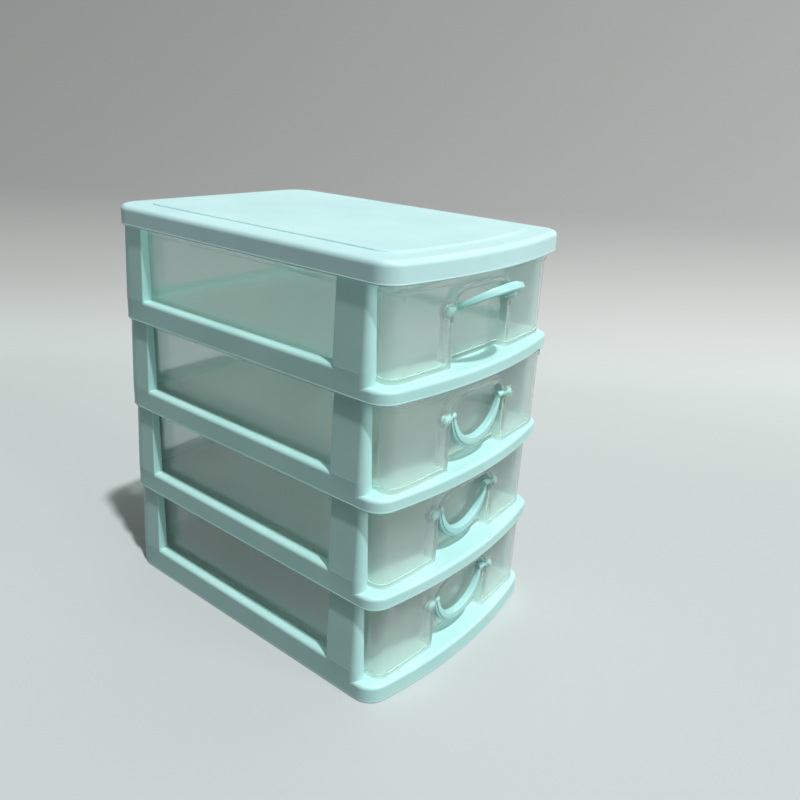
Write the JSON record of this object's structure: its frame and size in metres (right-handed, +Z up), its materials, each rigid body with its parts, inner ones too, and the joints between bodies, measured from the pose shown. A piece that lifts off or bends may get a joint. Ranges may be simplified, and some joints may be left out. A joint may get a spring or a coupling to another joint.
{
  "type": "mini drawer cabinet",
  "caption": "Desktop mini drawer tower: stacked open frames with a lid, translucent pull-out drawers and a swinging bail handle on each drawer front.",
  "frame": {"origin": "bottom centre of the bounding box, at rest with the top handle raised as pictured", "axes": "+Z up, -Y out of the drawer fronts, +X to the right seen from the front"},
  "size_m": [0.09, 0.136, 0.14],
  "materials": {
    "lid_plastic": "moulded polypropylene, pale aqua, satin",
    "frame_plastic": "moulded polypropylene, pale aqua, satin",
    "drawer_plastic": "natural polypropylene, frosted and translucent",
    "handle_plastic": "moulded polypropylene, aqua, translucent"
  },
  "bodies": {
    "cabinet": {"lid": "lid_plastic", "frame_1": "frame_plastic", "frame_2": "frame_plastic", "frame_3": "frame_plastic", "frame_4": "frame_plastic"},
    "drawer_1": {"drawer_1": "drawer_plastic"},
    "drawer_2": {"drawer_2": "drawer_plastic"},
    "drawer_3": {"drawer_3": "drawer_plastic"},
    "drawer_4": {"drawer_4": "drawer_plastic"},
    "handle_1": {"handle_1": "handle_plastic"},
    "handle_2": {"handle_2": "handle_plastic"},
    "handle_3": {"handle_3": "handle_plastic"},
    "handle_4": {"handle_4": "handle_plastic"}
  },
  "joints": [
    {"name": "drawer_1_slide", "type": "slide", "parent": "cabinet", "child": "drawer_1", "axis": [0, -1, 0], "range_m": [-0.0011, 0.09]},
    {"name": "handle_1_hinge", "type": "hinge", "parent": "drawer_1", "child": "handle_1", "pos_m": [0, -0.05674, 0.0237], "axis": [-1, 0, 0], "range_deg": [0, 130]},
    {"name": "drawer_2_slide", "type": "slide", "parent": "cabinet", "child": "drawer_2", "axis": [0, -1, 0], "range_m": [0, 0.09]},
    {"name": "handle_2_hinge", "type": "hinge", "parent": "drawer_2", "child": "handle_2", "pos_m": [0, -0.05564, 0.0565], "axis": [-1, 0, 0], "range_deg": [0, 130]},
    {"name": "drawer_3_slide", "type": "slide", "parent": "cabinet", "child": "drawer_3", "axis": [0, -1, 0], "range_m": [-0.0018, 0.09]},
    {"name": "handle_3_hinge", "type": "hinge", "parent": "drawer_3", "child": "handle_3", "pos_m": [0, -0.05744, 0.0893], "axis": [-1, 0, 0], "range_deg": [0, 130]},
    {"name": "drawer_4_slide", "type": "slide", "parent": "cabinet", "child": "drawer_4", "axis": [0, -1, 0], "range_m": [-0.0001, 0.09]},
    {"name": "handle_4_hinge", "type": "hinge", "parent": "drawer_4", "child": "handle_4", "pos_m": [0, -0.05574, 0.1221], "axis": [-1, 0, 0], "range_deg": [-122, 8]}
  ]
}
